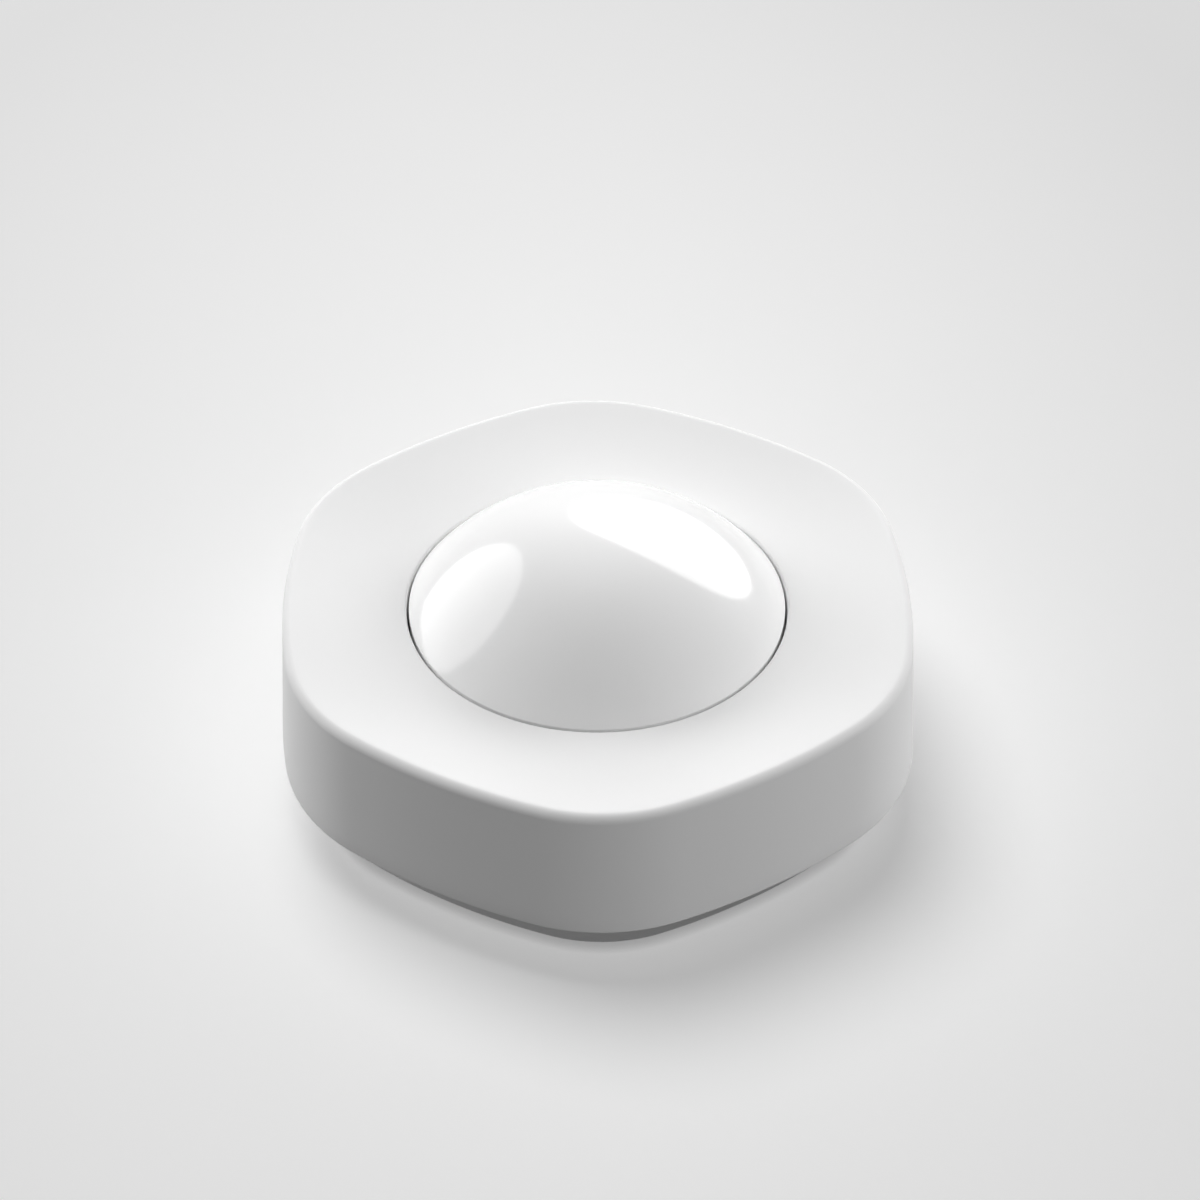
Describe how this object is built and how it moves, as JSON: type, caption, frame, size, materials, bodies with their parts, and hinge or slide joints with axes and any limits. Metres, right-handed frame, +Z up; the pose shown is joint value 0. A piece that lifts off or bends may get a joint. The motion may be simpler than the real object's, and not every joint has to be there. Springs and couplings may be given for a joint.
{
  "type": "water leak sensor",
  "caption": "Six-cornered wireless water leak sensor with a dished matte cover, a domed press button, an inset base, metal probes underneath and a coin-slot battery door.",
  "frame": {"origin": "on the floor, under the middle of the sensor, at the level of the foot pads' lower faces", "axes": "+Z up through the dome, -Y towards the front corner, +X towards a flat side"},
  "size_m": [0.066, 0.0688, 0.0287],
  "materials": {
    "cover_white": "fine matte texture",
    "dome_white": "polished",
    "base_white": "fine matte texture",
    "frame_white": "satin",
    "seal_grey": "soft silicone",
    "seal_black": "soft rubber",
    "pad_rubber": "matte",
    "spring_steel": "drawn wire",
    "screw_steel": "plated",
    "board_green": "solder mask",
    "chip_black": "matte",
    "lamp_clear": "clear gel over white",
    "plunger_ivory": "satin",
    "shield_metal": "tinned",
    "capacitor_can": "drawn can",
    "contact_brass": "stamped",
    "contact_steel": "stamped",
    "holder_black": "matte",
    "cell_steel": "pressed can",
    "probe_gold": "gold plated"
  },
  "bodies": {
    "housing": {"top_cover": "cover_white", "return_springs": "spring_steel", "light_frame": "frame_white", "frame_screws": "screw_steel", "main_board": "board_green", "board_chips": "chip_black", "status_lamps": "lamp_clear", "switch_body": "chip_black", "buzzer": "chip_black", "radio_module": "shield_metal", "buffer_capacitor": "capacitor_can", "antenna": "contact_brass", "battery_holder": "holder_black", "coin_cell": "cell_steel", "positive_contact": "contact_steel", "negative_contact": "contact_steel", "housing_gasket": "seal_grey", "base_cover": "base_white", "water_probes": "probe_gold", "probe_seals": "seal_black", "probe_contacts": "contact_steel", "probe_nuts": "screw_steel", "base_screws": "screw_steel", "foot_pads": "pad_rubber"},
    "button": {"dome_button": "dome_white", "button_seal": "seal_grey"},
    "plunger": {"switch_plunger": "plunger_ivory"},
    "door": {"battery_door": "base_white", "door_seal": "seal_black"}
  },
  "joints": [
    {"name": "button_press", "type": "slide", "parent": "housing", "child": "button", "axis": [0, 0, -1], "range_m": [0, 0.0005], "stiffness_N_per_m": 1500, "springref_m": -0.0006, "deforming": ["return_springs"]},
    {"name": "switch_travel", "type": "slide", "parent": "housing", "child": "plunger", "axis": [0, 0, -1], "range_m": [0, 0.0005]},
    {"name": "battery_door_turn", "type": "hinge", "parent": "housing", "child": "door", "pos_m": [0, 0, 0.0018], "axis": [0, 0, -1], "range_deg": [0, 45]}
  ],
  "couplings": [
    {"joint": "switch_travel", "follows": "button_press", "ratio": 1}
  ]
}
